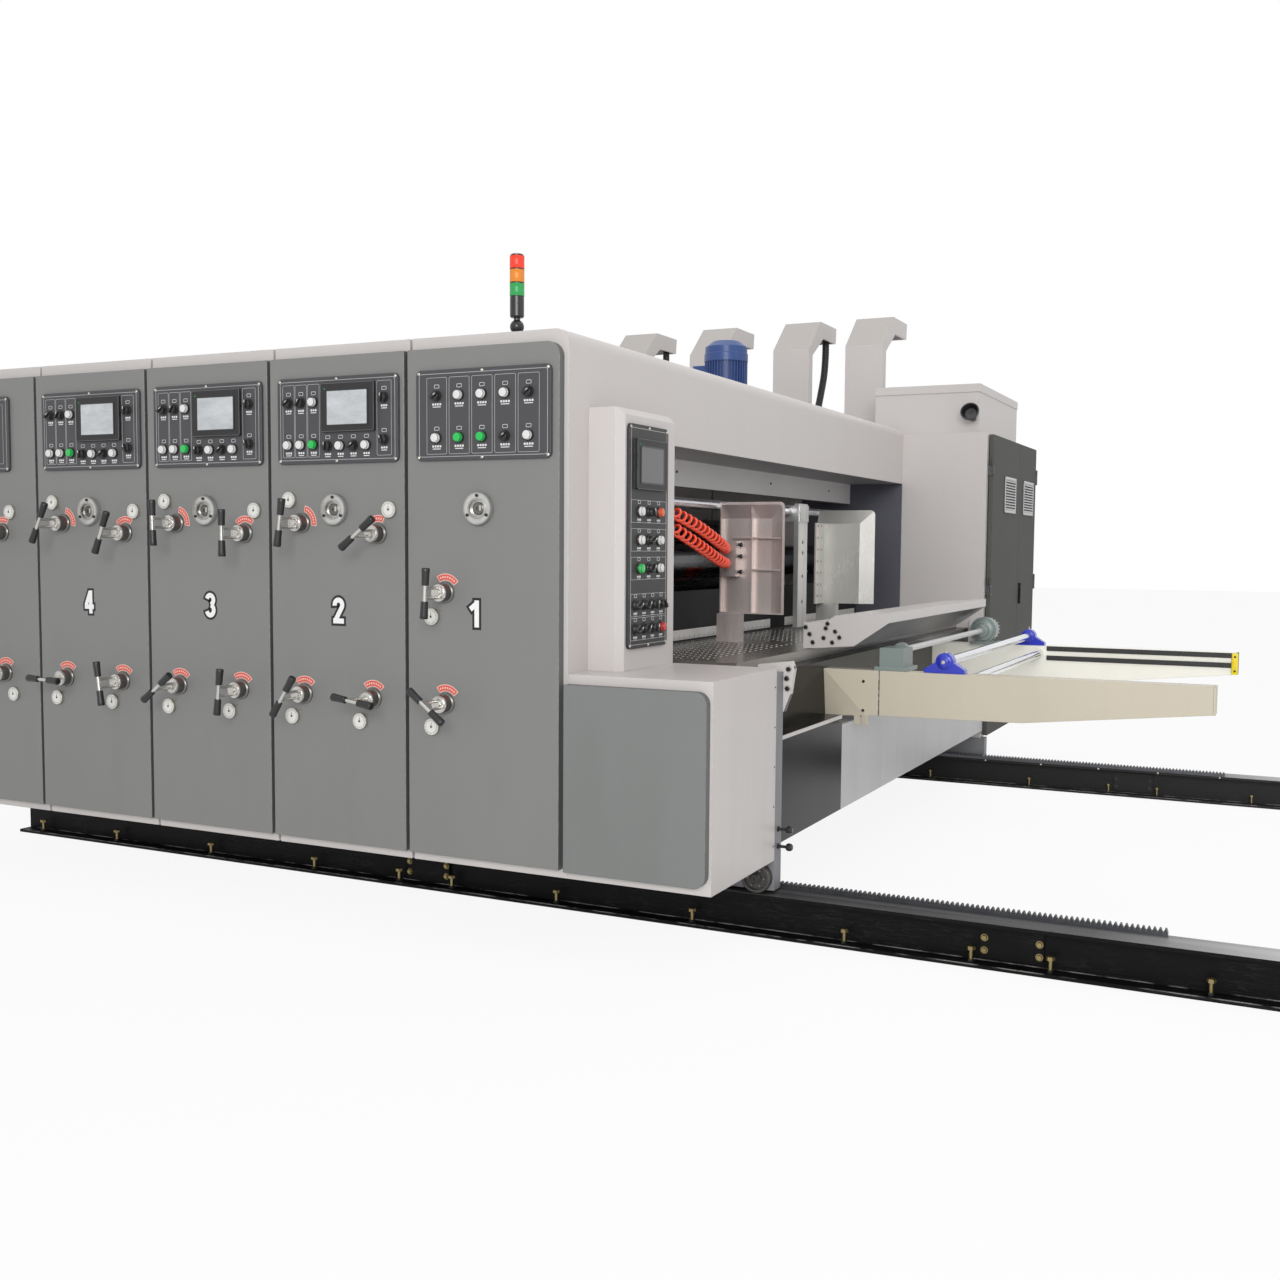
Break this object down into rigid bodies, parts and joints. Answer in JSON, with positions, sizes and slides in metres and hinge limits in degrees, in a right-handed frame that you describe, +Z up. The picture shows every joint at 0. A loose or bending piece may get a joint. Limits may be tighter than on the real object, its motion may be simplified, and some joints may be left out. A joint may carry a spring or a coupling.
{
  "type": "flexo printer slotter die-cutter",
  "caption": "Corrugated-board flexo line on floor rails: lead-edge feeder, printing sections with operator consoles and T-handle adjusters, and a slotting and die-cutting end section.",
  "frame": {"origin": "middle of the footprint's box, on the floor", "axes": "+X along the rails towards the feed end, -Y towards the operator side, +Z up"},
  "size_m": [6.405, 5.21, 2.656],
  "materials": {
    "white_paint": "satin off-white enamel",
    "grey_paint": "satin mid-grey enamel",
    "dark_grey_paint": "satin dark grey enamel",
    "black_paint": "black enamel, scuffed",
    "table_black": "glossy black",
    "beige_paint": "satin beige enamel",
    "blue_paint": "gloss blue enamel",
    "bearing_blue": "gloss blue enamel",
    "green_grey_paint": "satin green-grey enamel",
    "console_black": "matt dark overlay",
    "bare_steel": "ground steel",
    "bright_aluminium": "milled",
    "polished_chrome": "hard chrome",
    "black_rubber": "matt",
    "orange_hose": "glossy coiled air hose"
  },
  "bodies": {
    "base": {"rails": "black_paint", "racks": "bare_steel", "end_frame": "white_paint", "end_panel": "grey_paint", "end_console": "console_black", "end_adjusters": "bare_steel", "end_rolls": "polished_chrome"},
    "unit_4": {"unit_4_frame": "white_paint", "unit_4_panel": "grey_paint", "unit_4_console": "console_black", "unit_4_adjusters": "bare_steel", "unit_4_rolls": "polished_chrome", "unit_4_duct": "white_paint"},
    "unit_3": {"unit_3_frame": "white_paint", "unit_3_panel": "grey_paint", "unit_3_console": "console_black", "unit_3_adjusters": "bare_steel", "unit_3_rolls": "polished_chrome", "unit_3_duct": "white_paint"},
    "unit_2": {"unit_2_frame": "white_paint", "unit_2_panel": "grey_paint", "unit_2_console": "console_black", "unit_2_adjusters": "bare_steel", "unit_2_rolls": "polished_chrome", "unit_2_duct": "white_paint", "roof_motor": "blue_paint"},
    "feeder": {"feeder_frame": "white_paint", "feeder_panel": "grey_paint", "feeder_console": "console_black", "feeder_adjusters": "bare_steel", "feeder_rolls": "polished_chrome", "feeder_duct": "white_paint", "wheels": "black_rubber", "wall_plates": "dark_grey_paint", "control_pillar": "white_paint", "pillar_console": "console_black", "lower_cabinet": "white_paint", "lower_door": "grey_paint", "feed_table": "table_black", "table_beam": "white_paint", "cross_member": "table_black", "side_guides": "bare_steel", "front_gate": "bright_aluminium", "front_cover": "table_black", "lower_cover": "white_paint", "lift_arms": "beige_paint", "arm_strips": "black_rubber", "cross_shafts": "polished_chrome", "bearings": "bearing_blue", "lift_drive": "green_grey_paint", "drive_housing": "white_paint", "top_box": "white_paint", "horn": "console_black", "signal_tower": "console_black", "upper_hose": "orange_hose", "lower_hose": "orange_hose"},
    "left_cabinet_leaf": {"left_cabinet_door": "dark_grey_paint"},
    "right_cabinet_leaf": {"right_cabinet_door": "dark_grey_paint"}
  },
  "joints": [
    {"name": "unit_4_slide", "type": "slide", "parent": "base", "child": "unit_4", "axis": [1, 0, 0], "range_m": [0, 0.55]},
    {"name": "unit_3_slide", "type": "slide", "parent": "unit_4", "child": "unit_3", "axis": [1, 0, 0], "range_m": [0, 0.55]},
    {"name": "unit_2_slide", "type": "slide", "parent": "unit_3", "child": "unit_2", "axis": [1, 0, 0], "range_m": [0, 0.55]},
    {"name": "feeder_slide", "type": "slide", "parent": "unit_2", "child": "feeder", "axis": [1, 0, 0], "range_m": [0, 0.55]},
    {"name": "left_leaf_hinge", "type": "hinge", "parent": "feeder", "child": "left_cabinet_leaf", "pos_m": [0.3095, 1.318, 1.07], "axis": [0, 0, 1], "range_deg": [-110, 0]},
    {"name": "right_leaf_hinge", "type": "hinge", "parent": "feeder", "child": "right_cabinet_leaf", "pos_m": [0.3095, 2.597, 1.07], "axis": [0, 0, 1], "range_deg": [0, 110]}
  ]
}
